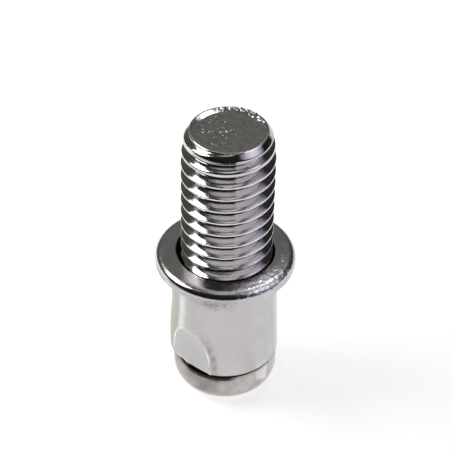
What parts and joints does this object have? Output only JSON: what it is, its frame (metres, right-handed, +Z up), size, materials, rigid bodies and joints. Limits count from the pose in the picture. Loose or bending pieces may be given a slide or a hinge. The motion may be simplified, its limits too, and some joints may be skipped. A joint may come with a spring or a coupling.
{
  "type": "rivet stud",
  "caption": "Blind rivet stud: a headed stud with an external thread, held in a thin flanged sleeve by a crimp flat near the sleeve's lower end.",
  "frame": {"origin": "centre of the head's flat underside, where the part stands", "axes": "+Z up the stud's axis towards the threaded end; -Y is the front, with the crimp flat at the front left"},
  "size_m": [0.0122, 0.0122, 0.0273],
  "materials": {
    "stud_steel": "plated, bright, fine tool marks",
    "sleeve_steel": "plated, satin bright"
  },
  "bodies": {
    "root": {"threaded_stud": "stud_steel", "flanged_sleeve": "sleeve_steel"}
  },
  "joints": []
}
